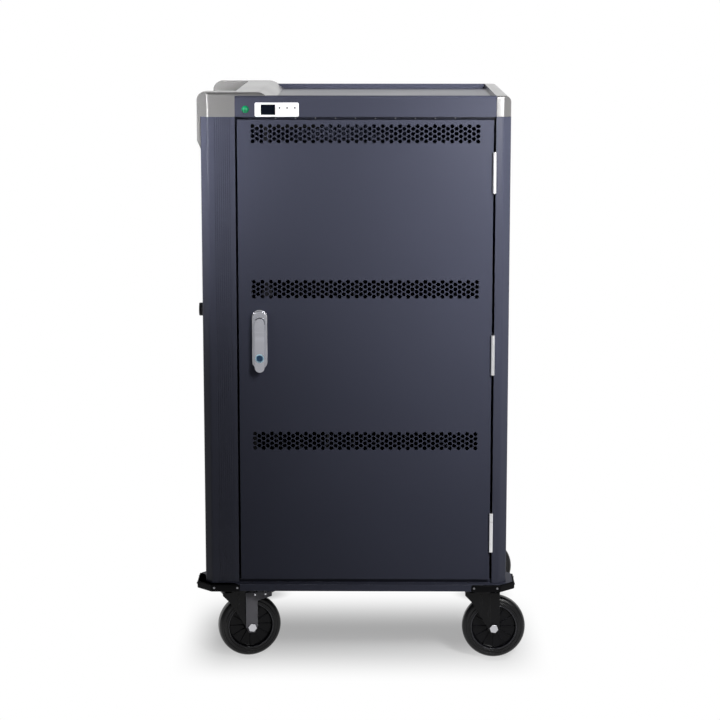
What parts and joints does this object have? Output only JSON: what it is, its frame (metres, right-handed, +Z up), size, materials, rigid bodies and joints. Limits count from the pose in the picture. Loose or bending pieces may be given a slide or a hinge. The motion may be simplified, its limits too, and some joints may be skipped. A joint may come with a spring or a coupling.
{
  "type": "charging cabinet",
  "caption": "Tall sheet-metal device-charging cabinet on swivel casters, with a perforated locking door, tray top, push handle, control strip and bumpered base.",
  "frame": {"origin": "on the floor under the middle of the overall box", "axes": "+Z up, the door faces -Y, +X is right as seen from in front of the door"},
  "size_m": [0.6834, 0.5546, 1.1737],
  "materials": {
    "dark_paint": "dark blue-grey powder coat, fine texture, satin",
    "silver_plastic": "silver-grey moulded plastic, satin",
    "grip_plastic": "silver-grey plastic, satin",
    "bumper_rubber": "black, matte",
    "zinc_steel": "zinc plated, dull",
    "black_zinc": "black passivated steel, satin",
    "hinge_steel": "bright steel",
    "brake_steel": "grey, satin",
    "hub_plastic": "black nylon, satin",
    "tyre_rubber": "black rubber, matte",
    "black_plastic": "black, satin",
    "lamp_green": "green translucent, glossy",
    "display_glass": "dark navy window, glossy",
    "button_plastic": "dark, glossy",
    "lock_satin": "satin silver die casting",
    "key_blue": "blue, glossy",
    "white_plastic": "white, glossy",
    "fork_black": "black, semi-gloss",
    "shelf_paint": "dark powder coat, satin",
    "divider_plastic": "dark plastic, matte"
  },
  "bodies": {
    "cabinet": {"base_plate": "dark_paint", "corner_bumpers": "bumper_rubber", "cabinet_screws": "zinc_steel", "column_front_left": "dark_paint", "column_front_right": "dark_paint", "rear_columns": "dark_paint", "side_panel_left": "dark_paint", "side_panel_right": "dark_paint", "rear_panel": "dark_paint", "power_inlet": "black_plastic", "front_fascia": "dark_paint", "rear_rail": "dark_paint", "top_deck": "dark_paint", "right_end_cap": "silver_plastic", "handle_moulding": "silver_plastic", "handle_grip_rail": "grip_plastic", "lamp_lens": "lamp_green", "control_plate": "white_plastic", "display_window": "display_glass", "controller_box": "black_plastic", "shelves": "shelf_paint", "device_dividers": "divider_plastic", "power_strips": "black_plastic", "hinge_frame_leaves": "hinge_steel", "hinge_pins": "hinge_steel", "caster_plates": "zinc_steel", "caster_bolts": "zinc_steel"},
    "door": {"door_panel": "dark_paint", "hinge_door_leaves": "hinge_steel", "lock_base": "lock_satin", "lock_gearbox": "black_zinc", "rod_guides": "black_plastic"},
    "lock_turn": {"lock_spindle": "zinc_steel", "lever_pin": "zinc_steel"},
    "lever": {"lock_lever": "lock_satin"},
    "key": {"key_plug": "key_blue"},
    "upper_rod": {"upper_rod": "black_zinc"},
    "lower_rod": {"lower_rod": "black_zinc"},
    "side_knob": {"side_knob": "black_plastic"},
    "button_1": {"button_1": "button_plastic"},
    "button_2": {"button_2": "button_plastic"},
    "button_3": {"button_3": "button_plastic"},
    "swivel_front_left": {"fork_front_left": "fork_black", "axle_front_left": "zinc_steel"},
    "wheel_front_left": {"hub_front_left": "hub_plastic", "tyre_front_left": "tyre_rubber"},
    "brake_front_left": {"brake_front_left": "brake_steel"},
    "swivel_front_right": {"fork_front_right": "fork_black", "axle_front_right": "zinc_steel"},
    "wheel_front_right": {"hub_front_right": "hub_plastic", "tyre_front_right": "tyre_rubber"},
    "swivel_rear_left": {"fork_rear_left": "fork_black", "axle_rear_left": "zinc_steel"},
    "wheel_rear_left": {"hub_rear_left": "hub_plastic", "tyre_rear_left": "tyre_rubber"},
    "brake_rear_left": {"brake_rear_left": "brake_steel"},
    "swivel_rear_right": {"fork_rear_right": "fork_black", "axle_rear_right": "zinc_steel"},
    "wheel_rear_right": {"hub_rear_right": "hub_plastic", "tyre_rear_right": "tyre_rubber"}
  },
  "joints": [
    {"name": "door_swing", "type": "hinge", "parent": "cabinet", "child": "door", "pos_m": [0.26725, -0.2628, 0.64365], "axis": [0, 0, 1], "range_deg": [0, 120]},
    {"name": "lock_turning", "type": "hinge", "parent": "door", "child": "lock_turn", "pos_m": [-0.20485, -0.2665, 0.7098], "axis": [0, -1, 0], "range_deg": [0, 90]},
    {"name": "lever_lift", "type": "hinge", "parent": "lock_turn", "child": "lever", "pos_m": [-0.20485, -0.2698, 0.7098], "axis": [-1, 0, 0], "range_deg": [0, 35]},
    {"name": "key_turning", "type": "hinge", "parent": "lever", "child": "key", "pos_m": [-0.20485, -0.2705, 0.6383], "axis": [0, -1, 0], "range_deg": [0, 90]},
    {"name": "upper_rod_slide", "type": "slide", "parent": "door", "child": "upper_rod", "axis": [0, 0, 1], "range_m": [0, 0.01258]},
    {"name": "lower_rod_slide", "type": "slide", "parent": "door", "child": "lower_rod", "axis": [0, 0, -1], "range_m": [0, 0.01258]},
    {"name": "side_knob_turning", "type": "hinge", "parent": "cabinet", "child": "side_knob", "pos_m": [-0.32385, -0.1635, 0.7227], "axis": [-1, 0, 0], "range_deg": [0, 90]},
    {"name": "button_1_press", "type": "slide", "parent": "cabinet", "child": "button_1", "axis": [0, 1, 0], "range_m": [0, 0.0007], "stiffness_N_per_m": 300},
    {"name": "button_2_press", "type": "slide", "parent": "cabinet", "child": "button_2", "axis": [0, 1, 0], "range_m": [0, 0.0007], "stiffness_N_per_m": 300},
    {"name": "button_3_press", "type": "slide", "parent": "cabinet", "child": "button_3", "axis": [0, 1, 0], "range_m": [0, 0.0007], "stiffness_N_per_m": 300},
    {"name": "swivel_front_left_turning", "type": "hinge", "parent": "cabinet", "child": "swivel_front_left", "pos_m": [-0.25685, -0.2255, 0.148], "axis": [0, 0, 1], "continuous": true},
    {"name": "wheel_front_left_rolling", "type": "hinge", "parent": "swivel_front_left", "child": "wheel_front_left", "pos_m": [-0.23367, -0.21929, 0.0655], "axis": [-0.2588, 0.9659, 0], "continuous": true},
    {"name": "brake_front_left_press", "type": "hinge", "parent": "swivel_front_left", "child": "brake_front_left", "pos_m": [-0.23367, -0.21929, 0.0655], "axis": [-0.2588, 0.9659, 0], "range_deg": [0, 12]},
    {"name": "swivel_front_right_turning", "type": "hinge", "parent": "cabinet", "child": "swivel_front_right", "pos_m": [0.25215, -0.2255, 0.148], "axis": [0, 0, 1], "continuous": true},
    {"name": "wheel_front_right_rolling", "type": "hinge", "parent": "swivel_front_right", "child": "wheel_front_right", "pos_m": [0.27615, -0.2255, 0.0655], "axis": [0, 1, 0], "continuous": true},
    {"name": "swivel_rear_left_turning", "type": "hinge", "parent": "cabinet", "child": "swivel_rear_left", "pos_m": [-0.25685, 0.2285, 0.148], "axis": [0, 0, 1], "continuous": true},
    {"name": "wheel_rear_left_rolling", "type": "hinge", "parent": "swivel_rear_left", "child": "wheel_rear_left", "pos_m": [-0.23308, 0.23184, 0.0655], "axis": [-0.1392, 0.9903, 0], "continuous": true},
    {"name": "brake_rear_left_press", "type": "hinge", "parent": "swivel_rear_left", "child": "brake_rear_left", "pos_m": [-0.23308, 0.23184, 0.0655], "axis": [-0.1392, 0.9903, 0], "range_deg": [0, 12]},
    {"name": "swivel_rear_right_turning", "type": "hinge", "parent": "cabinet", "child": "swivel_rear_right", "pos_m": [0.25215, 0.2285, 0.148], "axis": [0, 0, 1], "continuous": true},
    {"name": "wheel_rear_right_rolling", "type": "hinge", "parent": "swivel_rear_right", "child": "wheel_rear_right", "pos_m": [0.27533, 0.23471, 0.0655], "axis": [-0.2588, 0.9659, 0], "continuous": true}
  ],
  "couplings": [
    {"joint": "upper_rod_slide", "follows": "lock_turning", "m_per_rad": 0.008},
    {"joint": "lower_rod_slide", "follows": "lock_turning", "m_per_rad": 0.008}
  ]
}
